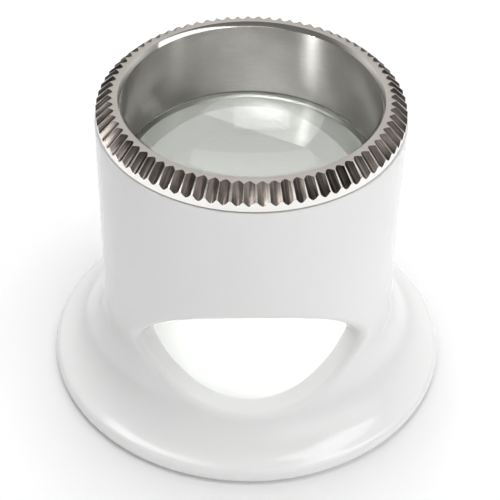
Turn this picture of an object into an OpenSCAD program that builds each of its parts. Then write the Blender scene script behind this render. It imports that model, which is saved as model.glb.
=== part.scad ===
// Eye loupe of the kind worn in the eye socket: a moulded white eye cup with
// two side windows, and a knurled steel ring that holds the lens and screws
// into the mouth of the cup. It stands on the rim that rests round the eye.
// Millimetres, +Z up. The origin is the centre of the rim's resting face.

/* [Lens] */
// Diameter of the ground lens
lens_d = 25.7; // [22:0.1:30]
// Thickness of the lens at its edge
lens_edge = 2; // [1.4:0.1:3]
// Radius of both convex faces
lens_face_r = 42; // [24:0.5:80]
// Depth of the lens edge below the mouth of the cup
lens_depth = 6.1; // [5:0.1:9]

/* [Lens ring] */
// Height of the knurled head above the mouth of the cup
head_h = 2.4; // [2:0.1:4]
// Amount by which the head is smaller than the barrel, on the radius
head_inset = 0.15; // [0.05:0.05:0.5]
// Bevel on the outer top edge of the head, which carries the knurling
head_bevel = 1.2; // [0.8:0.1:1.6]
// Number of V grooves in the knurling
knurl_count = 80; // [48:1:110]
// Depth of a V groove, square to the bevel
knurl_depth = 0.33; // [0.15:0.01:0.45]
// Flat left between two grooves at the top of the bevel
knurl_land = 0.14; // [0.05:0.01:0.3]
// Angle to which the knurling is turned about the axis
knurl_turn = 2.5; // [0:0.5:90]
// Bevel at the mouth of the bore
bore_bevel = 0.4; // [0.1:0.05:0.6]
// Width of the step that the lens seats against
seat_w = 0.35; // [0.25:0.05:0.6]
// Wall of the sleeve round the lens
cell_wall = 0.55; // [0.4:0.05:1]
// Height of the thread ridge, from the plain sleeve to the crest
thread_step = 0.35; // [0.25:0.05:0.6]
// Length of the screw thread
thread_len = 4.2; // [3:0.1:6]
// Width of the relief groove between the head and the thread
relief_w = 0.6; // [0.3:0.1:1]

/* [Retaining ring] */
// Height of the ring that holds the lens in the sleeve
retainer_h = 1; // [0.6:0.1:1.6]
// Width of that ring, on the radius
retainer_w = 0.9; // [0.6:0.1:1.4]
// Width of the two slots for a spanner
slot_w = 1; // [0.6:0.1:1.6]
// Depth of those slots
slot_depth = 0.5; // [0.2:0.1:0.5]

/* [Eye cup] */
// Height of the cup, from the table to its mouth
cup_h = 30.4; // [27:0.1:38]
// Wall of the cup round the screw thread
mouth_wall = 1.35; // [1:0.05:2]
// Wall of the cup below the lens
wall = 2.4; // [2:0.1:3]
// Reach of the rim beyond the barrel, on the radius
rim_reach = 5.6; // [4:0.1:6.5]
// Radius of the flare between the barrel and the rim
flare_r = 6.2; // [5.8:0.1:8]
// Radius of the round lip of the rim
lip_r = 0.8; // [0.5:0.1:1.2]

/* [Windows] */
// Height of the lowest point of a window above the table
window_sill = 4.7; // [3.6:0.1:7]
// Wall left between the shoulder in the bore and the top of a window
window_head = 3.4; // [2.5:0.1:5]
// Radius of the upper edge, measured along the curve of the barrel
window_top_r = 16; // [13:0.1:18]
// Radius of the lower edge, measured along the curve of the barrel
window_bottom_r = 19.7; // [16:0.1:24]
// Radius of the two corners
window_corner_r = 0.5; // [0.3:0.1:2.5]
// Radius of the rounding on the outer edge of a window
window_round = 0.9; // [0.3:0.1:1.1]

/* [Clearances] */
// Clearance of the ring in the cup, on the radius
ring_fit = 0.05; // [0.02:0.01:0.1]
// Clearance of the lens and its retaining ring in the sleeve, on the radius
lens_fit = 0.05; // [0.02:0.01:0.1]
// Play of the lens between its seat and the retaining ring, at each face
lens_play = 0.05; // [0.02:0.01:0.1]
// Gap between the foot of the sleeve and the shoulder in the cup
foot_gap = 0.4; // [0.2:0.1:1]

/* [Hidden] */

// Overlap that keeps a cut clear of the face it opens
cut = 1;
// Small bevels that break the turned and moulded edges
edge_break = 0.15;
// Smoothness of the round faces
round_fn = 180;

// Radii of the lens ring, from the lens outwards
lens_r = lens_d / 2;
cell_r = lens_r + lens_fit;
bore_r = lens_r - seat_w;
sleeve_r = cell_r + cell_wall;
thread_r = sleeve_r + thread_step;

// Radii of the eye cup, from the thread outwards
thread_bore_r = thread_r + ring_fit;
pilot_bore_r = sleeve_r + ring_fit;
barrel_r = thread_bore_r + mouth_wall;
throat_r = barrel_r - wall;
rim_r = barrel_r + rim_reach;
head_r = barrel_r - head_inset;

// Rise of a lens face between its edge and radius r
function face_rise(r) = sqrt(lens_face_r ^ 2 - r ^ 2) - sqrt(lens_face_r ^ 2 - lens_r ^ 2);

// Heights above the table, from the mouth of the cup downwards
lens_top_z = cup_h - lens_depth;
seat_z = lens_top_z + face_rise(bore_r) + lens_play;
lens_bottom_z = lens_top_z - lens_edge;
retainer_r = cell_r - lens_fit;
retainer_bore_r = retainer_r - retainer_w;
retainer_top_z = lens_bottom_z - face_rise(retainer_bore_r) - lens_play;
retainer_bottom_z = retainer_top_z - retainer_h;
foot_z = retainer_bottom_z - edge_break;
shoulder_z = foot_z - foot_gap;
thread_top_z = cup_h - relief_w;
thread_bottom_z = thread_top_z - thread_len;

// Centres of the two arcs that make the side of the flare and the lip
lip_c = [rim_r - lip_r, lip_r];
flare_c = [barrel_r + flare_r, lip_r + sqrt((flare_r + lip_r) ^ 2 - (flare_r + lip_r - rim_reach) ^ 2)];
lip_to_flare = lip_c + (flare_c - lip_c) * lip_r / (flare_r + lip_r);

// Outline of a window on the unrolled barrel: along the curve, and up
window_top = shoulder_z - window_head;
top_arc_z = window_top - window_top_r;
sill_arc_z = window_sill + window_bottom_r;
arc_span = sill_arc_z - top_arc_z;
corner_top = window_top_r - window_corner_r;
corner_sill = window_bottom_r - window_corner_r;
corner_rise = (arc_span ^ 2 + corner_top ^ 2 - corner_sill ^ 2) / (2 * arc_span);
corner_s = sqrt(corner_top ^ 2 - corner_rise ^ 2);
corner_z = top_arc_z + corner_rise;

// Directions out of the window, turned from straight up, at which the corner
// begins and ends, and all directions at which the outline has a point
top_end = atan2(corner_s, corner_rise);
sill_start = 180 - atan2(corner_s, arc_span - corner_rise);
arc_steps = 24;
corner_steps = 8;
round_steps = 6;
proud = 0.04;
right_half = concat(
    [for (i = [0:arc_steps - 1]) top_end * i / arc_steps],
    [for (i = [0:corner_steps - 1]) top_end + (sill_start - top_end) * i / corner_steps],
    [for (i = [0:arc_steps]) sill_start + (180 - sill_start) * i / arc_steps]
);
half_count = len(right_half) - 1;
directions = concat(right_half, [for (i = [1:half_count - 1]) 360 - right_half[half_count - i]]);

// Point of the outline whose way out has direction a: along the curve, and up
function outline_point(a) = a > 180
    ? let (twin = outline_point(360 - a)) [-twin.x, twin.y]
    : a < top_end ? [0, top_arc_z] + window_top_r * [sin(a), cos(a)]
    : a < sill_start ? [corner_s, corner_z] + window_corner_r * [sin(a), cos(a)]
    : [0, sill_arc_z] + window_bottom_r * [sin(a), cos(a)];

// Radius of the outside of the cup at height z, from the flare upwards
function skin_r(z) = z < flare_c.y ? flare_c.x - sqrt(flare_r ^ 2 - (z - flare_c.y) ^ 2) : barrel_r;

// Place on the rounded edge, as [along the curve, radius, up]. A ball inside the
// wall touches the window's side, where part is 0, and the skin, where it is 1.
// There the place stands a little proud, so that the cut crosses the skin.
function rounded_place(a, part) = let (
    point = outline_point(a),
    r = skin_r(point.y),
    skin = point.y < flare_c.y ? [0, flare_c.x - r, flare_c.y - point.y] / flare_r : [0, 1, 0],
    slant = [-sin(a), 0, -cos(a) * r / barrel_r],
    side = slant / norm(slant),
    turn = acos(skin * side),
    way = (side * sin((1 - part) * turn) + skin * sin(part * turn)) / sin(turn),
    step = window_round * (way - (skin + side) / (1 + skin * side)),
    z = point.y + step.z
) [point.x + step.x * barrel_r / r, part < 1 ? r + step.y : skin_r(z) + proud, z];

// Point at distance s along the barrel, radius r and height z, on the front
function wrapped(s, r, z) = [r * sin(s / barrel_r * 180 / PI), -r * cos(s / barrel_r * 180 / PI), z];

// Solid that opens one window. Its sides run radially, so the window widens
// outwards, and they flare at the skin into the rounded edge. It is a stack of
// rings, from one inside the throat to one so far out that its end is clear.
module window_cutter() {
    inner_r = throat_r / 2;
    outer_r = 3 * barrel_r;
    rings = concat(
        [[for (a = directions) let (p = outline_point(a)) wrapped(p.x, inner_r, p.y)]],
        [for (i = [0:round_steps]) [for (a = directions)
            let (p = rounded_place(a, i / round_steps)) wrapped(p.x, p.y, p.z)
        ]],
        [[for (a = directions) let (p = rounded_place(a, 1)) wrapped(p.x, outer_r, p.z)]]
    );
    count = len(directions);
    top_ring = count * (len(rings) - 1);
    sides = [for (layer = [0:len(rings) - 2], i = [0:count - 1])
        let (a = layer * count + i, b = layer * count + (i + 1) % count)
        each [[a, b, b + count], [a, b + count, a + count]]
    ];
    outer_end = [for (i = [0:half_count - 1]) i == 0 ? [0, 1, count - 1]
        : i == half_count - 1 ? [i, i + 1, i + 2]
        : [i, i + 1, count - i - 1, count - i]
    ];
    inner_end = [for (face = outer_end) [for (i = [len(face) - 1:-1:0]) face[i]]];
    outer_faces = [for (face = outer_end) [for (i = face) i + top_ring]];
    polyhedron(points = [for (ring = rings) each ring], faces = concat(sides, inner_end, outer_faces));
}

// Outside of the cup, cut along its axis: barrel, flare and round lip
module cup_outline() {
    difference() {
        polygon([
            [0, 0], [lip_c.x, 0], lip_to_flare, flare_c, [barrel_r, flare_c.y],
            [barrel_r, cup_h - edge_break], [barrel_r - edge_break, cup_h], [0, cup_h]
        ]);
        translate(flare_c) circle(r = flare_r, $fn = round_fn);
    }
    translate(lip_c) circle(r = lip_r, $fn = round_fn);
}

// Inside of the cup: threaded mouth, pilot bore, throat and inner flare
module cup_hollow() {
    polygon([
        [0, shoulder_z], [pilot_bore_r, shoulder_z], [pilot_bore_r, thread_bottom_z],
        [thread_bore_r, thread_bottom_z + thread_step], [thread_bore_r, cup_h - edge_break],
        [thread_bore_r + edge_break + cut, cup_h + cut], [0, cup_h + cut]
    ]);
    translate([0, flare_c.y - cut]) square([throat_r, shoulder_z + 2 * cut - flare_c.y]);
    difference() {
        translate([0, -cut]) square([flare_c.x, flare_c.y + cut]);
        translate(flare_c) circle(r = flare_r + wall, $fn = round_fn);
    }
}

// Moulded cup: the barrel holds the lens ring, the rim rests round the eye,
// and the two windows let light and air in under the lens
module eye_cup() {
    color("white") difference() {
        rotate_extrude($fn = round_fn) difference() {
            cup_outline();
            cup_hollow();
        }
        for (side = [0, 180]) rotate([0, 0, side]) window_cutter();
    }
}

// Section of the turned ring: head, relief groove, thread and plain sleeve
module ring_section() {
    polygon([
        [bore_r, seat_z], [bore_r, cup_h + head_h - bore_bevel], [bore_r + bore_bevel, cup_h + head_h],
        [head_r - head_bevel, cup_h + head_h], [head_r, cup_h + head_h - head_bevel],
        [head_r, cup_h + edge_break], [head_r - edge_break, cup_h],
        [sleeve_r, cup_h], [sleeve_r, thread_top_z], [thread_r, thread_top_z - thread_step],
        [thread_r, thread_bottom_z + thread_step], [sleeve_r, thread_bottom_z],
        [sleeve_r, foot_z + edge_break], [sleeve_r - edge_break, foot_z],
        [cell_r, foot_z], [cell_r, seat_z]
    ]);
}

// One V groove of the knurling, laid along the bevel of the head
module knurl_groove() {
    pitch = 2 * PI * (head_r - head_bevel) / knurl_count;
    half_w = (pitch - knurl_land) / 2;
    reach = knurl_depth + cut;
    translate([head_r - head_bevel / 2, 0, cup_h + head_h - head_bevel / 2])
        rotate([0, -45, 0])
            linear_extrude(height = 4 * head_h, center = true)
                polygon([[-knurl_depth, 0], [cut, -half_w / knurl_depth * reach], [cut, half_w / knurl_depth * reach]]);
}

// Steel ring: its knurled head is gripped to screw it in and out of the cup,
// and the foot of its sleeve is the cell that holds the lens
module lens_ring() {
    color("silver") difference() {
        rotate_extrude($fn = round_fn) ring_section();
        for (i = [0:knurl_count - 1]) rotate([0, 0, knurl_turn + 360 * i / knurl_count]) knurl_groove();
    }
}

// Glass lens with two convex faces and a cylindrical ground edge
module lens() {
    sphere_drop = sqrt(lens_face_r ^ 2 - lens_r ^ 2);
    color("lightcyan") intersection() {
        translate([0, 0, lens_bottom_z - lens_face_r]) cylinder(r = lens_r, h = lens_edge + 2 * lens_face_r, $fn = round_fn);
        translate([0, 0, lens_top_z - sphere_drop]) sphere(r = lens_face_r, $fn = round_fn);
        translate([0, 0, lens_bottom_z + sphere_drop]) sphere(r = lens_face_r, $fn = round_fn);
    }
}

// Thin ring screwed in under the lens, with two slots for a spanner
module lens_retainer() {
    color("silver") difference() {
        translate([0, 0, retainer_bottom_z]) cylinder(r = retainer_r, h = retainer_h, $fn = round_fn);
        translate([0, 0, retainer_bottom_z - cut]) cylinder(r = retainer_bore_r, h = retainer_h + 2 * cut, $fn = round_fn);
        translate([-lens_r, -slot_w / 2, retainer_bottom_z - cut]) cube([lens_d, slot_w, slot_depth + cut]);
    }
}

eye_cup();
lens_ring();
lens();
lens_retainer();
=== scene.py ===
# %% [markdown]
# # A watchmaker's eye loupe
# The loupe has four pieces: a white moulded eye cup with two windows and a flared rim, a
# knurled steel ring that screws into its mouth, a glass lens in the foot of that ring, and a
# thin steel ring that holds the lens from below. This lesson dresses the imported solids. It
# keeps their frame and sizes, builds finer meshes where the real piece has a finer form, and
# gives every piece a procedural finish.

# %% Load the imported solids
import math
import random

import bmesh
import bpy
from mathutils import Matrix, Vector


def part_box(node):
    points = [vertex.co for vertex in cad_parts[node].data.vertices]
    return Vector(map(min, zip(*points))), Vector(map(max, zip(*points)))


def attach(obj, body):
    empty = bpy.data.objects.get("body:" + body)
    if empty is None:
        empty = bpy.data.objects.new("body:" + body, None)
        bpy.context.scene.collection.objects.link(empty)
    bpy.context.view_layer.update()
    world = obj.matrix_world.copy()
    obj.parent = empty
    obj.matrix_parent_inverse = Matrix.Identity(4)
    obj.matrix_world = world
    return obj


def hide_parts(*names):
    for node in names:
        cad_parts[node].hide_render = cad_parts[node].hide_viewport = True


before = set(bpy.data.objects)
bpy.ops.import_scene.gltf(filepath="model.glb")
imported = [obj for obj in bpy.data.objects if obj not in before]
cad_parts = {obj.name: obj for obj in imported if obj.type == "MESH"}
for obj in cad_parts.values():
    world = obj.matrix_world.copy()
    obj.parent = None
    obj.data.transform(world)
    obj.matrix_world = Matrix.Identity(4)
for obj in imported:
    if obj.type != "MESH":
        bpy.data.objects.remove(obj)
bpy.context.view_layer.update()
print("solids:", sorted(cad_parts))

# %% [markdown]
# ## Sizes
# The pieces are small, so sizes are written in millimetres and turned into metres with one
# constant. Sizes that the solids already hold are read from their boxes, and the others
# repeat the sizes of the part's source.

# %% Sizes of the object
MM = 0.001

cup_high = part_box("eye_cup")[1]
ring_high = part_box("lens_ring")[1]
lens_low, lens_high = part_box("lens")
mouth = cup_high.z / MM
top = ring_high.z / MM
print("cup to", round(mouth, 2), "mm, ring to", round(top, 2), "mm")

# %% [markdown]
# ## The camera
# The camera stands where the photograph was taken: about 120 mm in front of the loupe and
# 118 mm above the table, looking 41 degrees down. A short distance gives the strong
# perspective that makes the ring look wider than the barrel.

# %% Camera
camera_place = Vector((-4.21, -120.61, 117.89)) * MM
camera_turn = [math.radians(angle) for angle in (48.993, -0.927, -1.260)]
camera_data = bpy.data.cameras.new("photo_camera")
camera_data.lens = 110.13
camera_data.sensor_width = 36
camera_data.clip_start = 0.005
camera = bpy.data.objects.new("photo_camera", camera_data)
camera.location = camera_place
camera.rotation_euler = camera_turn
bpy.context.scene.collection.objects.link(camera)
bpy.context.scene.camera = camera
print("camera at", [round(value / MM, 1) for value in camera.location], "mm")

# %% [markdown]
# ## Nodes by name
# Every finish is a small tree of shader nodes. A few helpers keep the cells short: one makes a
# material with an empty tree, and one adds a node, sets its sockets and links its inputs. Two
# more add the nodes that come up most, a sum on two values and a map between two ranges.

# %% Helpers for materials
def new_material(name):
    """An empty material, and its node tree."""
    material = bpy.data.materials.new(name)
    material.use_nodes = True
    material.node_tree.nodes.clear()
    return material, material.node_tree


def add_node(tree, kind, inputs=None, **settings):
    """A shader node. An input is a plain value, or another node's output socket."""
    node = tree.nodes.new(kind)
    for name, value in settings.items():
        setattr(node, name, value)
    for name, value in (inputs or {}).items():
        socket = node.inputs[name]
        if isinstance(value, bpy.types.NodeSocket):
            tree.links.new(value, socket)
        else:
            socket.default_value = value
    return node


def combine(tree, operation, first, second):
    """The result of one sum on two values, such as ADD, MULTIPLY or MAXIMUM."""
    node = add_node(tree, "ShaderNodeMath", operation=operation, inputs={0: first, 1: second})
    return node.outputs[0]


def remap(tree, value, from_low, from_high, to_low, to_high, smooth=False):
    """The value carried from one range to another, and held at the ends of it."""
    kind = "SMOOTHSTEP" if smooth else "LINEAR"
    node = add_node(tree, "ShaderNodeMapRange", interpolation_type=kind, inputs={
        "Value": value, "From Min": from_low, "From Max": from_high,
        "To Min": to_low, "To Max": to_high})
    return node.outputs[0]


def give(piece, material):
    """The piece wears this material alone."""
    piece.data.materials.clear()
    piece.data.materials.append(material)
    print(piece.name, "wears", material.name)

# %% [markdown]
# ## The table
# A pale round table top carries the loupe. Lamps alone would leave it light grey, so its
# material adds a little glow that only the camera, mirrors and glass can see. The glow
# lights nothing. There is none under the loupe, and it rises only slowly over a ring round
# its foot, so the table is painted darker there: a painted shadow that deepens the real one.
# There is more of it far away, where the lamps hardly reach.

# %% Table top
table_r = 0.9
table_z = -0.01 * MM
bpy.ops.object.select_all(action="DESELECT")
bpy.ops.mesh.primitive_circle_add(vertices=96, radius=table_r, fill_type="NGON", location=(0, 0, table_z))
table = bpy.context.active_object
table.name = "table_top"

table_finish, tree = new_material("pale_table")
rays = add_node(tree, "ShaderNodeLightPath").outputs
seen_or_mirrored = combine(tree, "MAXIMUM", rays["Is Camera Ray"], rays["Is Glossy Ray"])
seen = combine(tree, "MAXIMUM", seen_or_mirrored, rays["Is Transmission Ray"])
spot = add_node(tree, "ShaderNodeTexCoord")
distance = add_node(tree, "ShaderNodeVectorMath", operation="LENGTH", inputs={0: spot.outputs["Object"]})
# no glow under the loupe and a slow rise round its foot: a painted shadow ring
glow_outside_painted_shadow = remap(tree, distance.outputs["Value"], 0.019, 0.032, 0.0, 0.14, smooth=True)
far_glow = remap(tree, distance.outputs["Value"], 0.08, 0.75, 0.0, 0.75, smooth=True)
all_glow = combine(tree, "ADD", glow_outside_painted_shadow, far_glow)
glow = combine(tree, "MULTIPLY", seen, all_glow)
matt = add_node(tree, "ShaderNodeBsdfDiffuse", inputs={"Color": (0.88, 0.88, 0.88, 1)})
lift = add_node(tree, "ShaderNodeEmission", inputs={"Strength": glow})
both = add_node(tree, "ShaderNodeAddShader", inputs={0: matt.outputs[0], 1: lift.outputs[0]})
add_node(tree, "ShaderNodeOutputMaterial", inputs={"Surface": both.outputs[0]})
give(table, table_finish)

# %% [markdown]
# ## The light
# A soft box almost straight above and large dim fills round the table light the white
# plastic. No surface mirrors these, so the grooves of the knurling stay dark. A wide box at
# the right in front is mirrored as well: it draws the bright side of the polished bevel. A
# lamp is given by the brightness of its face, and its power follows from its size.

# %% Lamps
loupe_middle = (0, 0, 0.02)


def add_soft_box(name, place, width, height, radiance, turn=0.0, aim=loupe_middle, diffuse=True, gloss=True):
    """A rectangular lamp. It can light matt surfaces, show in glossy ones, or both."""
    data = bpy.data.lights.new(name, "AREA")
    data.shape = "RECTANGLE"
    data.size = width
    data.size_y = height
    data.energy = radiance * math.pi * width * height
    lamp = bpy.data.objects.new(name, data)
    lamp.location = place
    facing = (Vector(place) - Vector(aim)).to_track_quat("Z", "Y").to_euler()
    lamp.rotation_euler = (facing.x, facing.y, facing.z + turn)
    lamp.visible_diffuse = diffuse
    lamp.visible_glossy = gloss
    bpy.context.scene.collection.objects.link(lamp)
    print(name, "power", round(data.energy, 3), "W")
    return lamp


add_soft_box("overhead_core", (-0.030, 0.000, 0.370), 0.17, 0.17, 5.2, gloss=False)
add_soft_box("right_box", (0.304, -0.213, 0.335), 0.55, 0.25, 1.25)
add_soft_box("right_fill", (0.50, 0.10, 0.10), 0.50, 0.20, 1.65, gloss=False)
add_soft_box("front_fill", (0.0, -0.55, 0.25), 0.70, 0.50, 0.84, gloss=False)
add_soft_box("back_fill", (0.0, 0.50, 0.40), 0.70, 0.45, 2.25, gloss=False)

# %% [markdown]
# ### Lamps that only some pieces mirror
# Light linking keeps a lamp to the pieces that mirror it: the lamp names a collection, and
# only what that holds receives its light. The large bright patch with straight edges in the
# lens is a wide box overhead. Ellipses hang under it, each smaller than the last, and their
# light adds up towards the middle. Lamps in one plane would hide each other, so each hangs
# 3 mm lower. The cup mirrors one box on its flare, and a strip high at the back as the thin
# line on its lip. The ring mirrors three narrow strips as the tall bright shapes in its bore,
# and a dim wide box in front on the crests of its knurling.

# %% Lamps with light linking
studio_z = 0.38
overhead_z = 0.376
lamp_gap = 0.003
overhead_turn = math.radians(-32.7)
gloss_groups = {group: bpy.data.collections.new("mirrors_in_" + group) for group in ("cup", "ring", "lens")}


def add_mirrored_box(group, name, place, width, height, radiance, turn=0.0, aim=loupe_middle):
    """A soft box that only the pieces of one group mirror."""
    lamp = add_soft_box(name, place, width, height, radiance, turn, aim, diffuse=False)
    lamp.light_linking.receiver_collection = gloss_groups[group]
    return lamp


def below(place):
    """The spot on the table right under a place, for a lamp that points straight down."""
    return place[0], place[1], 0


# Lamps of the lens: one box and, under its middle, ellipses of (width, height, radiance)
box_place = (-0.077, -0.029, overhead_z)
add_mirrored_box("lens", "overhead_box", box_place, 0.441, 0.287, 7.0, overhead_turn, below(box_place))
ellipses = ((0.27, 0.20, 3.0), (0.17, 0.13, 5.0), (0.10, 0.08, 6.0), (0.05, 0.045, 7.0))
for number, (width, height, radiance) in enumerate(ellipses, start=1):
    place = (-0.054, -0.032, overhead_z - number * lamp_gap)
    lamp = add_mirrored_box("lens", "overhead_middle", place, width, height, radiance,
                            overhead_turn, below(place))
    lamp.data.shape = "ELLIPSE"

# Lamps of the cup
add_mirrored_box("cup", "flare_box", (0.165, 0.010, studio_z), 0.15, 0.20, 3.8, math.radians(-20))
lip_place = (-0.105, 0.100, studio_z)
add_mirrored_box("cup", "lip_box", lip_place, 0.21, 0.050, 4.5, math.radians(-19), below(lip_place))

# Lamps of the ring
add_mirrored_box("ring", "bore_left", (-0.283, -0.206, 0.142), 0.026, 0.10, 80.0)
warm = add_mirrored_box("ring", "bore_front", (0.02, -0.35, 0.142), 0.05, 0.10, 1.5)
warm.data.color = (1.0, 0.90, 0.72)
add_mirrored_box("ring", "bore_right", (0.24, -0.25, 0.142), 0.03, 0.10, 3.0)
add_mirrored_box("ring", "crest_front", (0.0, -0.32, 0.34), 0.45, 0.08, 0.6)

# %% [markdown]
# ### The surroundings
# The camera sees plain white round the table. Glossy surfaces mirror a pale wall behind the
# loupe, which is dark near the horizon, and a darker room at the sides and in front.
# Everything else gets a little even light from all round.

# %% Surroundings
world = bpy.data.worlds.new("studio")
bpy.context.scene.world = world
world.use_nodes = True
tree = world.node_tree
tree.nodes.clear()
rays = add_node(tree, "ShaderNodeLightPath").outputs
direction = add_node(tree, "ShaderNodeTexCoord")
parts = add_node(tree, "ShaderNodeSeparateXYZ", inputs={0: direction.outputs["Generated"]})
wall = remap(tree, parts.outputs["Y"], -0.15, 0.45, 0.16, 0.66, smooth=True)
above_horizon = remap(tree, parts.outputs["Z"], 0.05, 0.50, 0.22, 1.0, smooth=True)
wall_light = combine(tree, "MULTIPLY", wall, above_horizon)
mirrored = add_node(tree, "ShaderNodeBackground", inputs={
    "Color": (1, 0.98, 0.95, 1), "Strength": wall_light})
even = add_node(tree, "ShaderNodeBackground", inputs={"Color": (1, 1, 1, 1), "Strength": 0.22})
white = add_node(tree, "ShaderNodeBackground", inputs={"Color": (1, 1, 1, 1), "Strength": 1.0})
for_gloss = add_node(tree, "ShaderNodeMixShader", inputs={
    0: rays["Is Glossy Ray"], 1: even.outputs[0], 2: mirrored.outputs[0]})
for_camera = add_node(tree, "ShaderNodeMixShader", inputs={
    0: rays["Is Camera Ray"], 1: for_gloss.outputs[0], 2: white.outputs[0]})
add_node(tree, "ShaderNodeOutputWorld", inputs={"Surface": for_camera.outputs[0]})
bpy.context.scene.view_settings.view_transform = "Standard"

# %% [markdown]
# ## White moulded plastic
# The cup is glossy white plastic. Its gloss isn't perfect: an injection moulding has a very
# fine ripple, and years of handling leave some places duller than others. One noise makes the
# ripple as a bump, and a larger one changes the roughness a little.

# %% Plastic
plastic, tree = new_material("moulded_white")
place = add_node(tree, "ShaderNodeTexCoord")
ripple = add_node(tree, "ShaderNodeTexNoise", inputs={
    "Vector": place.outputs["Object"], "Scale": 420.0, "Detail": 2.0})
skin = add_node(tree, "ShaderNodeBump", inputs={
    "Height": ripple.outputs["Fac"], "Strength": 0.05, "Distance": 0.0004})
handling = add_node(tree, "ShaderNodeTexNoise", inputs={
    "Vector": place.outputs["Object"], "Scale": 90.0, "Detail": 4.0, "Roughness": 0.6})
dullness = remap(tree, handling.outputs["Fac"], 0.3, 0.7, 0.09, 0.14)
tone = add_node(tree, "ShaderNodeMix", data_type="RGBA", inputs={0: handling.outputs["Fac"]})
tone.inputs[6].default_value = (0.885, 0.885, 0.88, 1)
tone.inputs[7].default_value = (0.865, 0.867, 0.865, 1)
shader = add_node(tree, "ShaderNodeBsdfPrincipled", inputs={
    "Base Color": tone.outputs[2], "Roughness": dullness, "IOR": 1.49,
    "Subsurface Weight": 0.15, "Subsurface Radius": (1.0, 1.0, 0.95), "Subsurface Scale": 0.8 * MM,
    "Normal": skin.outputs["Normal"]})
add_node(tree, "ShaderNodeOutputMaterial", inputs={"Surface": shader.outputs[0]})

# %% [markdown]
# ## Steel
# The ring is turned from stainless steel, and every surface shows how it was cut. The tool
# left fine circles on the flat top, the sleeve and the bore. So the helper builds a metal
# whose bump follows circles about the axis: the noise reads the radius and the height, and
# hardly the angle. The knurling is the other way round: its striations run down each groove.

# %% Metal with tool marks
def turned_metal(name, light, dark, roughness, along, across, depth, anisotropy=0.0):
    """Steel with marks. The scales say how fast the marks change along and across the turn."""
    material, tree = new_material(name)
    place = add_node(tree, "ShaderNodeTexCoord")
    parts = add_node(tree, "ShaderNodeSeparateXYZ", inputs={0: place.outputs["Object"]})
    angle = combine(tree, "ARCTAN2", parts.outputs["Y"], parts.outputs["X"])
    flat_place = add_node(tree, "ShaderNodeCombineXYZ", inputs={0: parts.outputs["X"], 1: parts.outputs["Y"]})
    radius = add_node(tree, "ShaderNodeVectorMath", operation="LENGTH", inputs={0: flat_place.outputs[0]})
    along_turn = combine(tree, "MULTIPLY", angle, along)
    out = combine(tree, "MULTIPLY", radius.outputs["Value"], across)
    up = combine(tree, "MULTIPLY", parts.outputs["Z"], across)
    marks_place = add_node(tree, "ShaderNodeCombineXYZ", inputs={0: along_turn, 1: out, 2: up})
    marks = add_node(tree, "ShaderNodeTexNoise", inputs={
        "Vector": marks_place.outputs[0], "Scale": 1.0, "Detail": 5.0, "Roughness": 0.65})
    stains = add_node(tree, "ShaderNodeTexNoise", inputs={
        "Vector": place.outputs["Object"], "Scale": 260.0, "Detail": 3.0})
    blend = combine(tree, "MULTIPLY", marks.outputs["Fac"], stains.outputs["Fac"])
    shade = remap(tree, blend, 0.12, 0.38, 0.0, 1.0)
    tone = add_node(tree, "ShaderNodeMix", data_type="RGBA", inputs={0: shade})
    tone.inputs[6].default_value = (*dark, 1)
    tone.inputs[7].default_value = (*light, 1)
    rough = remap(tree, marks.outputs["Fac"], 0.3, 0.7, *roughness)
    relief = add_node(tree, "ShaderNodeBump", inputs={
        "Height": marks.outputs["Fac"], "Strength": 1.0, "Distance": depth * MM})
    shader = add_node(tree, "ShaderNodeBsdfPrincipled", inputs={
        "Base Color": tone.outputs[2], "Metallic": 1.0, "Roughness": rough,
        "Anisotropic": anisotropy, "Anisotropic Rotation": 0.25, "Normal": relief.outputs["Normal"]})
    if anisotropy:
        turn = add_node(tree, "ShaderNodeTangent", direction_type="RADIAL", axis="Z")
        tree.links.new(turn.outputs[0], shader.inputs["Tangent"])
    add_node(tree, "ShaderNodeOutputMaterial", inputs={"Surface": shader.outputs[0]})
    return material


turned_top = turned_metal("turned_top", (0.83, 0.80, 0.76), (0.70, 0.67, 0.63),
                          roughness=(0.26, 0.40), along=3.0, across=9000.0, depth=0.004)
satin_bore = turned_metal("satin_bore", (0.78, 0.765, 0.735), (0.64, 0.62, 0.59),
                          roughness=(0.28, 0.35), along=5.0, across=12000.0, depth=0.0010, anisotropy=0.92)
bright_band = turned_metal("bright_band", (0.94, 0.925, 0.90), (0.87, 0.85, 0.82),
                           roughness=(0.16, 0.26), along=3.0, across=9000.0, depth=0.002)
polished_edge = turned_metal("polished_edge", (0.90, 0.88, 0.85), (0.80, 0.78, 0.75),
                             roughness=(0.07, 0.12), along=3.0, across=6000.0, depth=0.0005)
# near-black steel for the grooves and the joint line: part dirt and oxide, part painted shade
dirt_and_painted_shade = turned_metal("dirt_and_painted_shade", (0.27, 0.235, 0.21), (0.012, 0.010, 0.009),
                           roughness=(0.30, 0.46), along=140.0, across=300.0, depth=0.012)

# %% [markdown]
# ## Glass
# The lens is thick glass with a faint green cast. Its colour is much darker than that of real
# glass: the dark grey tint is painted shade over what shows through it, the inside of the cup,
# and brings that close to the brightness in the photograph.
# A shadow of clear glass would be black in a path tracer without caustics, so light that only
# asks for shadow passes straight through. The edge is ground, so it is a second, frosted glass.

# %% Glass
dust_haze = 0.03


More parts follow.
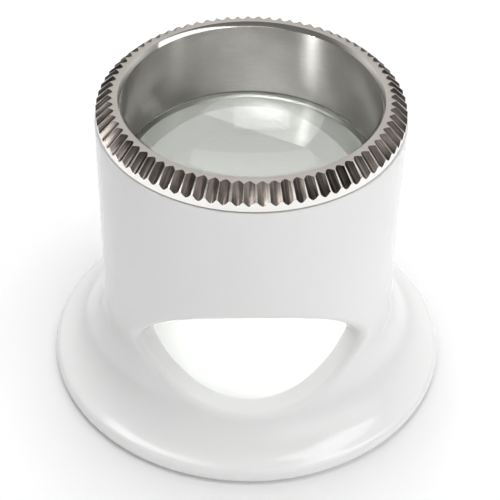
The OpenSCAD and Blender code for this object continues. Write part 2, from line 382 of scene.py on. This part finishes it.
def lens_finish(name, colour, shadow_colour, roughness):
    """Glass that lets the light for shadows through, with a little haze where dust lies."""
    material, tree = new_material(name)
    place = add_node(tree, "ShaderNodeTexCoord")
    dust = add_node(tree, "ShaderNodeTexNoise", inputs={
        "Vector": place.outputs["Object"], "Scale": 700.0, "Detail": 6.0, "Roughness": 0.7})
    haze = remap(tree, dust.outputs["Fac"], 0.62, 0.75, roughness, roughness + dust_haze)
    rays = add_node(tree, "ShaderNodeLightPath").outputs
    shader = add_node(tree, "ShaderNodeBsdfPrincipled", inputs={
        "Base Color": (*colour, 1), "Roughness": haze, "IOR": 1.52, "Transmission Weight": 1.0})
    clear = add_node(tree, "ShaderNodeBsdfTransparent", inputs={"Color": (*shadow_colour, 1)})
    mixed = add_node(tree, "ShaderNodeMixShader", inputs={
        0: rays["Is Shadow Ray"], 1: shader.outputs[0], 2: clear.outputs[0]})
    add_node(tree, "ShaderNodeOutputMaterial", inputs={"Surface": mixed.outputs[0]})
    return material


# the dark grey tint is painted shade over the inside of the cup seen through the lens
glass_with_painted_shade = lens_finish("glass_with_painted_shade", (0.52, 0.532, 0.507), (0.94, 0.95, 0.94), 0.0)
ground_glass = lens_finish("ground_glass", (0.60, 0.615, 0.60), (0.85, 0.86, 0.85), 0.35)

# %% [markdown]
# ## Working by hand, in code
# The new pieces are modelled with Blender's own operators. An operator acts on what is
# selected, so one helper selects a piece alone, one starts to edit it, one selects vertices
# by their place, and one extrudes a selected ring of edges to the next radius and height.

# %% Helpers for modelling
NEAR = 0.001  # tolerance in millimetres where vertices are picked by their place


def select_only(piece):
    """Selects this piece alone, and makes it the active one."""
    bpy.ops.object.select_all(action="DESELECT")
    piece.select_set(True)
    bpy.context.view_layer.objects.active = piece


def start_edit(piece):
    """Edit mode on this piece alone, with nothing selected."""
    if bpy.context.object and bpy.context.object.mode == "EDIT":
        bpy.ops.object.mode_set(mode="OBJECT")
    select_only(piece)
    bpy.ops.object.mode_set(mode="EDIT")
    bpy.ops.mesh.select_mode(type="VERT")
    bpy.ops.mesh.select_all(action="DESELECT")


def select_where(piece, test):
    """Selects the vertices whose place passes the test, in millimetres. Says how many."""
    mesh = bmesh.from_edit_mesh(piece.data)
    count = 0
    for vertex in mesh.verts:
        vertex.select_set(bool(test(vertex.co / MM)))
        count += vertex.select
    mesh.select_flush_mode()
    bmesh.update_edit_mesh(piece.data)
    return count


def radius_of(point):
    """Distance of a point from the axis."""
    return math.hypot(point.x, point.y)


def extrude_ring(from_place, to_place):
    """Extrudes the selected ring of edges from one (radius, height) to the next."""
    rise = (to_place[1] - from_place[1]) * MM
    grow = to_place[0] / from_place[0]
    bpy.ops.mesh.extrude_region_move(TRANSFORM_OT_translate={"value": (0, 0, rise)})
    bpy.ops.transform.resize(value=(grow, grow, 1), center_override=(0, 0, 0))


def apply_modifier(piece, kind, **settings):
    """Adds a modifier with these settings and applies it."""
    select_only(piece)
    modifier = piece.modifiers.new(kind.lower(), kind)
    for name, value in settings.items():
        setattr(modifier, name, value)
    bpy.ops.object.modifier_apply(modifier=modifier.name)


def merge_and_close(piece, distance=0.004):
    """Merges doubled vertices and turns all faces outwards. Says if any edge is open."""
    start_edit(piece)
    bpy.ops.mesh.select_all(action="SELECT")
    bpy.ops.mesh.remove_doubles(threshold=distance * MM)
    bpy.ops.mesh.normals_make_consistent(inside=False)
    mesh = bmesh.from_edit_mesh(piece.data)
    loose_edges = sum(len(edge.link_faces) != 2 for edge in mesh.edges)
    print(piece.name, len(mesh.faces), "faces, open or doubled edges:", loose_edges)
    bpy.ops.object.mode_set(mode="OBJECT")


def finish_piece(piece, body, node, smooth_angle):
    """Smooths the piece below an angle, hangs it on its body, and hides the solid it replaces."""
    select_only(piece)
    bpy.ops.object.shade_smooth_by_angle(angle=math.radians(smooth_angle))
    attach(piece, body)
    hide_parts(node)


def arc_points(centre, radius, start, stop, steps):
    """Points (r, z) on an arc, from one angle to another in degrees, without the first."""
    turn = [math.radians(start + (stop - start) * i / steps) for i in range(1, steps + 1)]
    return [(centre[0] + radius * math.cos(a), centre[1] + radius * math.sin(a)) for a in turn]

# %% [markdown]
# ## The eye cup
# The real cup is one glossy moulding. Its windows are the feature that matters: their walls
# run straight through to the axis, and their outer edges are rounded by almost a millimetre.
# A window could be cut with a boolean and bevelled, but the cut leaves slivers along a
# curved wall, and gloss shows every one of them. Here the wall is laid round the window
# instead: one grid of four-sided faces runs from the outside over the rounded edge, through
# the window and out over the inside, and the rest of the cup is extruded from its borders.
# One quarter is made, and a mirror completes it.

# %% Sizes of the cup
barrel_r = 15.2
throat_r = 12.8
flare_centre = (21.4, 7.659)
flare_r = 6.2
inner_flare_r = 8.6
lip_centre = (20.0, 0.8)
lip_r = 0.8
shoulder_z = 20.42
pilot_r = 13.5
mouth_inner_r = 13.95
mouth_round = 0.2
small_edge = 0.1
rim_inner_r = 17.65

window_top_z = 17.02
window_top_arc = 16.0
window_sill_z = 4.7
window_sill_arc = 19.7
window_corner_r = 0.5
window_round = 0.9
inner_edge_round = 0.15


def outside_r(z):
    """Radius of the cup's outer wall at a height, from the flare upwards."""
    if z >= flare_centre[1]:
        return barrel_r
    return flare_centre[0] - math.sqrt(max(flare_r ** 2 - (z - flare_centre[1]) ** 2, 0))


def inside_r(z):
    """Radius of the cup's inner wall at a height."""
    if z >= flare_centre[1]:
        return throat_r
    return flare_centre[0] - math.sqrt(inner_flare_r ** 2 - (z - flare_centre[1]) ** 2)


def on_wall(s, r, z):
    """Place of a point that lies s along the curve of the barrel from the middle of the front."""
    angle = s / barrel_r
    return Vector((r * math.sin(angle), -r * math.cos(angle), z)) * MM

# %% [markdown]
# ### The outline of a window
# On the unrolled barrel a window is the shape between two arcs, one above and one below. The
# outline is walked from the middle of the top, round the corner, to the middle of the sill,
# and each point also knows which way leads out of the window.

# %% Outline of the window
top_centre_z = window_top_z - window_top_arc
sill_centre_z = window_sill_z + window_sill_arc


def walk_outline(steps_top, steps_corner, steps_sill):
    """Points of the outline as (s, z, way out along s, way out along z)."""
    top_inner = window_top_arc - window_corner_r
    sill_inner = window_sill_arc - window_corner_r
    apart = sill_centre_z - top_centre_z
    rise = (apart ** 2 + top_inner ** 2 - sill_inner ** 2) / (2 * apart)
    corner = (math.sqrt(top_inner ** 2 - rise ** 2), top_centre_z + rise)
    top_end = math.acos(rise / top_inner)
    sill_end = math.acos((apart - rise) / sill_inner)
    points = []
    for i in range(steps_top):
        a = top_end * i / steps_top
        points.append((window_top_arc * math.sin(a), top_centre_z + window_top_arc * math.cos(a),
                       math.sin(a), math.cos(a)))
    for i in range(steps_corner + 1):
        a = top_end + (math.pi - sill_end - top_end) * i / steps_corner
        points.append((corner[0] + window_corner_r * math.sin(a), corner[1] + window_corner_r * math.cos(a),
                       math.sin(a), math.cos(a)))
    for i in range(1, steps_sill + 1):
        a = sill_end * (1 - i / steps_sill)
        points.append((window_sill_arc * math.sin(a), sill_centre_z - window_sill_arc * math.cos(a),
                       math.sin(a), -math.cos(a)))
    return points


outline = walk_outline(34, 10, 34)
print("window reaches", round(max(p[0] for p in outline), 2), "mm along the barrel to each side")

# %% [markdown]
# ### The rounded edge
# A rounding is the path of a ball that touches both faces. The ball's middle lies inside the
# plastic, square to the wall of the window and to the skin of the cup, and the rounded edge
# is walked from one touching point to the other. On the barrel it turns by a right angle,
# and on the flare by less, because there the skin already leans outwards.

# %% Rounded edge
def rounded_edge(point, steps):
    """Places (s, r, z) over the rounded edge, from the wall of the window to the outer skin."""
    s, z, out_s, out_z = point
    r = outside_r(z)
    if z < flare_centre[1]:
        skin = Vector((0, (flare_centre[0] - r) / flare_r, (flare_centre[1] - z) / flare_r))
    else:
        skin = Vector((0, 1, 0))
    window_wall = Vector((-out_s, 0, -out_z * r / barrel_r)).normalized()
    ball = (skin + window_wall) * (-window_round / (1 + skin.dot(window_wall)))
    places = []
    for i in range(steps + 1):
        way = window_wall.slerp(skin, i / steps)
        step = ball + way * window_round
        places.append((s + step.x * barrel_r / r, r + step.y, z + step.z))
    last = places[-1]
    places[-1] = (last[0], outside_r(last[2]), last[2])
    return places

# %% [markdown]
# ### The border of the sheet
# The sheet round the window ends in a rectangle on the unrolled barrel. A ray from the middle
# of the window through each point of the outline finds its partner on that rectangle, and
# the two rays nearest to the rectangle's corners are bent into them.

# %% Border of the sheet
border_s = 16.2
border_top = 19.5
border_foot = 2.6
between_walls_r = 16.5  # at the foot of the sheet, between its inside and its outside
window_middle = 9.9


def on_border(s, z):
    """Where the ray from the window's middle through (s, z) meets the border."""
    reach = []
    if s > NEAR:
        reach.append(border_s / s)
    if z > window_middle:
        reach.append((border_top - window_middle) / (z - window_middle))
    if z < window_middle:
        reach.append((border_foot - window_middle) / (z - window_middle))
    k = min(reach)
    return s * k, window_middle + (z - window_middle) * k


def border_points(edge_points):
    """The border's partner of every point, with its two corners occupied."""
    found = [on_border(s, z) for s, z in edge_points]
    for corner in ((border_s, border_top), (border_s, border_foot)):
        near = min(range(len(found)), key=lambda i: math.dist(found[i], corner))
        found[near] = corner
    return found

# %% [markdown]
# ### The sheet
# The flat grid has one column for each point of the outline. Its rows run from the border
# over the outer skin, round the edge, along the wall of the window, and back to the border
# over the inside. The flat place of a vertex tells its column and row.

# %% Sheet round the window
outer_rows = 8
edge_rows = 7
wall_rows = 4
inner_rows = 6


def lay_column(point, border):
    """All places (s, r, z) of one column of the sheet."""
    s, z, out_s, out_z = point
    edge = rounded_edge(point, edge_rows)
    start_s, start_z = edge[-1][0], edge[-1][2]
    places = []
    for i in range(outer_rows):
        k = (1 - i / outer_rows) ** 1.2
        row_s, row_z = start_s + (border[0] - start_s) * k, start_z + (border[1] - start_z) * k
        places.append((row_s, outside_r(row_z), row_z))
    places += edge[::-1]
    wall_end = (s, inside_r(z) + inner_edge_round, z)
    for i in range(1, wall_rows + 1):
        k = i / wall_rows
        places.append(tuple(a + (b - a) * k for a, b in zip(edge[0], wall_end)))
    turn_s, turn_z = s + out_s * inner_edge_round, z + out_z * inner_edge_round
    for i in range(inner_rows + 1):
        k = (i / inner_rows) ** 1.2
        row_s, row_z = turn_s + (border[0] - turn_s) * k, turn_z + (border[1] - turn_z) * k
        places.append((row_s, inside_r(row_z), row_z))
    return places


skin_edge = [rounded_edge(point, 1)[-1] for point in outline]
borders = border_points([(place[0], place[2]) for place in skin_edge])
columns = [lay_column(point, border) for point, border in zip(outline, borders)]
last_column, last_row = len(columns) - 1, len(columns[0]) - 1
bpy.ops.object.select_all(action="DESELECT")
bpy.ops.mesh.primitive_grid_add(x_subdivisions=last_column, y_subdivisions=last_row, size=1)
cup = bpy.context.active_object
cup.name = "moulded_eye_cup"
for vertex in cup.data.vertices:
    column = round((vertex.co.x + 0.5) * last_column)
    row = round((vertex.co.y + 0.5) * last_row)
    vertex.co = on_wall(*columns[column][row])
print("sheet of", last_column, "by", last_row, "faces")

# %% [markdown]
# ### The posts beside the window
# The two upright borders of the sheet, outside and inside, are turned about the axis in
# steps, which leaves the posts between the windows behind them.

# %% Posts
border_angle = border_s / barrel_r
post_steps = 12
angle_near = 1e-4
start_edit(cup)
select_where(cup, lambda p: abs(math.atan2(p.x, -p.y) - border_angle) < angle_near)
for step in range(post_steps):
    bpy.ops.mesh.extrude_region_move()
    turn = (math.pi / 2 - border_angle) / post_steps
    mesh = bmesh.from_edit_mesh(cup.data)
    bmesh.ops.rotate(mesh, verts=[v for v in mesh.verts if v.select], cent=(0, 0, 0),
                     matrix=Matrix.Rotation(turn, 3, "Z"))
    bmesh.update_edit_mesh(cup.data)
print("vertices on the side:", select_where(cup, lambda p: abs(p.y) < NEAR))

# %% [markdown]
# ### The screw thread
# The ring and the cup share one right-handed thread with a pitch of 0.75 mm. A helix could
# be swept and cut, but its thin ends make poor meshes. Here the wall has closely spaced rows,
# and each of their vertices moves out by the depth of the thread at its height and angle.
# Both threads use one rule, so ridges and grooves meet at every turn of the ring.

# %% Screw thread
thread_pitch = 0.75
thread_high = 29.9
thread_low = 25.5
thread_rows = 72
thread_row = (thread_high - thread_low) / thread_rows
thread_depth = 0.35
thread_run_in = 0.4
cup_groove = {"foot_width": 0.62, "crest_width": 0.06}
ring_ridge = {"foot_width": 0.55, "crest_width": 0.05}


def thread_height(angle, z, foot_width, crest_width):
    """Height of a ridge, from 0 to 1, at an angle and a height on the wall."""
    phase = (z / thread_pitch - angle / (2 * math.pi)) % 1
    from_crest = abs(phase - 0.5) * 2 * thread_pitch
    ridge = (foot_width - from_crest) / (foot_width - crest_width)
    run_in = min(thread_high - z, z - thread_low) / thread_run_in
    return max(0.0, min(ridge, 1.0)) * max(0.0, min(run_in, 1.0))


def cut_thread(piece, plain_r, foot_width, crest_width):
    """Moves the vertices of a plain cylindrical wall out to the shape of the thread."""
    moved = 0
    for vertex in piece.data.vertices:
        x, y, z = vertex.co / MM
        if abs(math.hypot(x, y) - plain_r) < 0.01 and thread_low < z < thread_high:
            out = thread_depth * thread_height(math.atan2(y, x), z, foot_width, crest_width)
            vertex.co.xy *= 1 + out / plain_r
            moved += 1
    print("thread of", piece.name, "uses", moved, "vertices")

# %% [markdown]
# ### The mouth and the rim
# The upper border goes up the barrel, over the mouth and down inside to the shoulder and the
# throat. The lower border goes down the flare, round the lip, under the rim and up the
# inside. Each is a walk through (radius, height) that ends on the sheet's inner border.

# %% Mouth and rim
mouth_walk = [(barrel_r, z) for z in (21.5, 23.5, 25.5, 27.5, 29.2, mouth - mouth_round)]
mouth_walk += arc_points((barrel_r - mouth_round, mouth - mouth_round), mouth_round, 0, 90, 3)
mouth_walk += [(14.2, mouth), (mouth_inner_r, mouth)]
mouth_walk += [(mouth_inner_r - small_edge, mouth - small_edge), (pilot_r, thread_high)]
mouth_walk += [(pilot_r, thread_high - i * thread_row) for i in range(1, thread_rows + 1)]
mouth_walk += [(pilot_r, z) for z in (24.0, 22.5, 21.2, shoulder_z)]
mouth_walk += [(throat_r + small_edge, shoulder_z), (throat_r, shoulder_z - small_edge)]
mouth_walk += [(throat_r, border_top)]

start_edit(cup)
select_where(cup, lambda p: abs(p.z - border_top) < NEAR and abs(radius_of(p) - barrel_r) < NEAR)
here = (barrel_r, border_top)
for place in mouth_walk:
    extrude_ring(here, place)
    here = place



def flare_angle(r, z):
    """Direction in degrees from the middle of the flare's arc to a place (radius, height)."""
    return math.degrees(math.atan2(z - flare_centre[1], r - flare_centre[0]))


flare_start = flare_angle(outside_r(border_foot), border_foot)
lip_touch = flare_angle(*lip_centre)
rim_walk = arc_points(flare_centre, flare_r, flare_start, lip_touch, 6)
rim_walk += arc_points(lip_centre, lip_r, 180 + lip_touch, -90, 14)
rim_walk += [(19.0, 0), (18.2, 0), (rim_inner_r, 0), (17.42, 0.12)]
inner_rise = [0.35, 0.7, 1.1, 1.55, 2.05, border_foot]
rim_walk += [(inside_r(z), z) for z in inner_rise]

start_edit(cup)
select_where(cup, lambda p: abs(p.z - border_foot) < NEAR and radius_of(p) > between_walls_r)
here = (outside_r(border_foot), border_foot)
for place in rim_walk:
    extrude_ring(here, place)
    here = place
bpy.ops.object.mode_set(mode="OBJECT")

apply_modifier(cup, "MIRROR", use_axis=(True, True, False), merge_threshold=0.004 * MM)
merge_and_close(cup)
cut_thread(cup, pilot_r, **cup_groove)

finish_piece(cup, "cup", "eye_cup", 32)
give(cup, plastic)
gloss_groups["cup"].objects.link(cup)

# %% [markdown]
# ## The knurled ring
# The ring is one turned piece: a head with a wide bevel, a bore, a sleeve with the thread,
# and a cell for the lens in its foot. Eighty V grooves are rolled into the bevel. Only one
# tooth is modelled, as a strip that walks once round the section of the ring, and a spin
# makes eighty of it. Where the strip crosses the bevel, its middle columns sink into the
# groove, so the points at both ends of a groove come out by themselves.

# %% Sizes of the ring
teeth = 80
tooth_turn = 2 * math.pi / teeth
knurl_start = math.radians(2.5)
bore_r = 12.5
head_r = 15.05
head_bevel = 1.2
sleeve_r = 13.45
cell_r = 12.9
seat_z = 24.461
foot_z = 20.82
bore_bevel = 0.4
ring_edge = 0.15
groove_depth = 0.33
groove_sink = groove_depth * math.sqrt(2)  # the depth is square to the bevel, which leans by 45 degrees
groove_half = 0.5  # a little wider than in the solid, where half a groove is 0.474 mm
groove_shape = {1: 0.0, 2: 0.66, 3: 1.0, 4: 0.66, 5: 0.0}  # share of the depth, column by column
knurl_margin = 0.6
knurl_inner_r = head_r - head_bevel - knurl_margin
knurl_low_z = top - head_bevel - knurl_margin

# %% [markdown]
# ### The walk round the section
# Each place on the walk is a radius and a height. The words top and foot mark the two rows
# at the ends of a groove, where the columns don't lie in one line.

# %% Walk round the section
ring_walk = [(bore_r, z) for z in (seat_z, 26.5, 28.5, 30.5, top - bore_bevel)]
ring_walk += [(bore_r + bore_bevel, top), "groove_top", "groove_foot", (head_r, mouth + ring_edge)]
ring_walk += [(head_r - ring_edge, mouth), (sleeve_r, mouth), (sleeve_r, thread_high)]
ring_walk += [(sleeve_r, thread_high - i * thread_row) for i in range(1, thread_rows + 1)]
ring_walk += [(sleeve_r, 23.0), (sleeve_r, foot_z + ring_edge), (sleeve_r - ring_edge, foot_z)]
ring_walk += [(cell_r, foot_z), (cell_r, 22.6), (cell_r, seat_z), (bore_r, seat_z)]
tooth_columns = 6


def tooth_place(column, step):
    """Place of a vertex of the strip, for a column and a step of the walk."""
    angle = (column / tooth_columns - 0.5) * tooth_turn
    if step not in ("groove_top", "groove_foot"):
        return angle, step[0], step[1]
    sink = groove_sink * groove_shape.get(column, 0.0)
    radius = head_r if step == "groove_foot" else head_r - head_bevel
    if column in groove_shape:
        angle = math.asin(groove_half / radius) * (column - 3) / 2
    if step == "groove_top":
        return angle, radius - sink, top
    return angle, radius, top - head_bevel - sink


bpy.ops.object.select_all(action="DESELECT")
last_step = len(ring_walk) - 1
bpy.ops.mesh.primitive_grid_add(x_subdivisions=tooth_columns, y_subdivisions=last_step, size=1)
ring = bpy.context.active_object
ring.name = "knurled_steel_ring"
for vertex in ring.data.vertices:
    column = round((vertex.co.x + 0.5) * tooth_columns)
    step = round((vertex.co.y + 0.5) * last_step)
    angle, r, z = tooth_place(column, ring_walk[step])
    angle += knurl_start
    vertex.co = Vector((r * math.cos(angle), r * math.sin(angle), z)) * MM
print("one tooth has", len(ring.data.polygons), "faces")

# %% [markdown]
# ### Eighty teeth
# The strip is copied round the axis and the copies are merged. A knurling wheel presses its
# grooves, and wears, so no two are quite alike: each groove gets its own small turn and
# depth. Then the thread is cut, and all sharp edges get a narrow bevel, which is what makes
# an edge catch the light.

# %% Teeth, thread and edges
start_edit(ring)
bpy.ops.mesh.select_all(action="SELECT")
bpy.ops.mesh.spin(steps=teeth - 1, dupli=True, angle=2 * math.pi - tooth_turn,
                  center=(0, 0, 0), axis=(0, 0, 1))
bpy.ops.object.mode_set(mode="OBJECT")
merge_and_close(ring, 0.002)

groove_reach = 2.1  # degrees from the middle of a groove to its sides, with a margin
bottom_reach = 1.3  # degrees from the middle within which a vertex is in the depth of the groove
random.seed(5)
groove_turn = [random.uniform(-0.16, 0.16) for _ in range(teeth)]  # degrees
groove_extra = [random.uniform(-0.03, 0.05) for _ in range(teeth)]  # millimetres
for vertex in ring.data.vertices:
    x, y, z = vertex.co / MM
    r, angle = math.hypot(x, y), math.atan2(y, x)
    tooth = round((angle - knurl_start) / tooth_turn)
    off_centre = math.degrees(angle - knurl_start - tooth * tooth_turn)
    on_top = abs(z - top) < 0.01
    if z < knurl_low_z or r < knurl_inner_r or abs(off_centre) > groove_reach:
        continue
    if on_top and r < head_r - head_bevel - 0.55:
        continue
    if abs(off_centre) < bottom_reach:
        if on_top:
            r -= groove_extra[tooth % teeth]
        else:
            z -= groove_extra[tooth % teeth]
    angle += math.radians(groove_turn[tooth % teeth])
    vertex.co = Vector((r * math.cos(angle), r * math.sin(angle), z)) * MM

cut_thread(ring, sleeve_r, **ring_ridge)
apply_modifier(ring, "BEVEL", width=0.03 * MM, segments=2, limit_method="ANGLE", angle_limit=math.radians(33),
               use_clamp_overlap=True, harden_normals=False)
merge_and_close(ring, 0.0005)

# %% [markdown]
# ### A finish for every surface
# Faces are sorted by their place. Those sunk into the knurling wear a near-black steel: partly
# dirt and oxide in the grooves, partly painted shade. The lowest edge of the head, the joint
# line on the cup, wears it too, as a painted shadow line between the parts. The bore is satin,
# the bevel at its mouth is polished, and the band under the knurling is bright. The rest keeps
# the finish of the lathe, as do the narrow crests between the grooves.

# %% Finishes of the ring
finish_piece(ring, "ring", "lens_ring", 30)
give(ring, turned_top)
gloss_groups["ring"].objects.link(ring)
for material in (satin_bore, polished_edge, dirt_and_painted_shade, bright_band):
    ring.data.materials.append(material)
TURNED, SATIN, POLISHED, DARK, BRIGHT = range(5)
joint_line = 0.16


def finish_of(r, z):
    """Which finish a face of the ring wears, by the place (radius, height) of its middle."""
    sunk = (head_r - head_bevel + top - r - z) / math.sqrt(2)
    in_knurl = knurl_inner_r < r < head_r - 0.01 and knurl_low_z < z < top - 0.01
    # faces sunk into the knurling: dirt with painted shade
    if in_knurl and sunk > 0.05:
        return DARK
    if r < bore_r + 0.05 and z < top - bore_bevel:
        return SATIN
    if r < bore_r + bore_bevel + 0.02 and z > top - bore_bevel - 0.02:
        return POLISHED
    # the lowest edge of the head at the joint with the cup: a painted shadow line
    if r > head_r - 0.3 and mouth - 0.01 < z < mouth + joint_line:
        return DARK
    if r > head_r - 0.2 and mouth < z < top - head_bevel - 0.03:
        return BRIGHT
    return TURNED


counts = [0] * 5
for face in ring.data.polygons:
    x, y, z = face.center / MM
    face.material_index = finish_of(math.hypot(x, y), z)
    counts[face.material_index] += 1
print("faces by finish:", counts)

# %% [markdown]
# ## The lens
# Both faces of the lens have a radius of 42 mm, as in the part's source. That radius is a
# guess, because the photograph doesn't fix the power of the lens. The lens starts as a circle
# at its edge and is extruded ring by ring along both faces until it can be merged at the poles.

# %% Lens
lens_r = 12.85
face_radius = 42.0
lens_top = lens_high.z / MM
lens_bottom = lens_low.z / MM
face_steps = 30
edge_bevel = 0.12


def face_z(r, upwards):
    """Height of a face of the lens at a radius."""
    drop = face_radius - math.sqrt(face_radius ** 2 - r ** 2)
    return lens_top - drop if upwards else lens_bottom + drop


middle_z = (lens_top + lens_bottom) / 2
bpy.ops.object.select_all(action="DESELECT")
bpy.ops.mesh.primitive_circle_add(vertices=192, radius=lens_r * MM, location=(0, 0, 0))
lens = bpy.context.active_object
lens.name = "ground_glass_lens"
start_edit(lens)
bpy.ops.mesh.select_all(action="SELECT")
bpy.ops.transform.translate(value=(0, 0, middle_z * MM))
for upwards in (True, False):
    bpy.ops.mesh.select_all(action="DESELECT")
    select_where(lens, lambda p: abs(p.z - middle_z) < NEAR)
    here = (lens_r, middle_z)
    edge_z = face_z(lens_r, upwards) + (-edge_bevel if upwards else edge_bevel)
    face_start = lens_r - edge_bevel
    radii = [face_start * (1 - i / face_steps) for i in range(face_steps)]
    for place in [(lens_r, edge_z)] + [(r, face_z(r, upwards)) for r in radii]:
        extrude_ring(here, place)
        here = place
    bpy.ops.mesh.extrude_region_move()
    bpy.ops.mesh.merge(type="CENTER")
    mesh = bmesh.from_edit_mesh(lens.data)
    pole = [vertex for vertex in mesh.verts if vertex.select][0]
    pole.co = Vector((0, 0, face_z(0, upwards))) * MM
    bmesh.update_edit_mesh(lens.data)
bpy.ops.object.mode_set(mode="OBJECT")
merge_and_close(lens, 0.001)
finish_piece(lens, "lens_carriage", "lens", 20)
gloss_groups["lens"].objects.link(lens)
give(lens, glass_with_painted_shade)
lens.data.materials.append(ground_glass)
for face in lens.data.polygons:
    if math.hypot(face.center.x, face.center.y) > (lens_r - edge_bevel) * MM:
        face.material_index = 1
give(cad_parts["lens_retainer"], satin_bore)
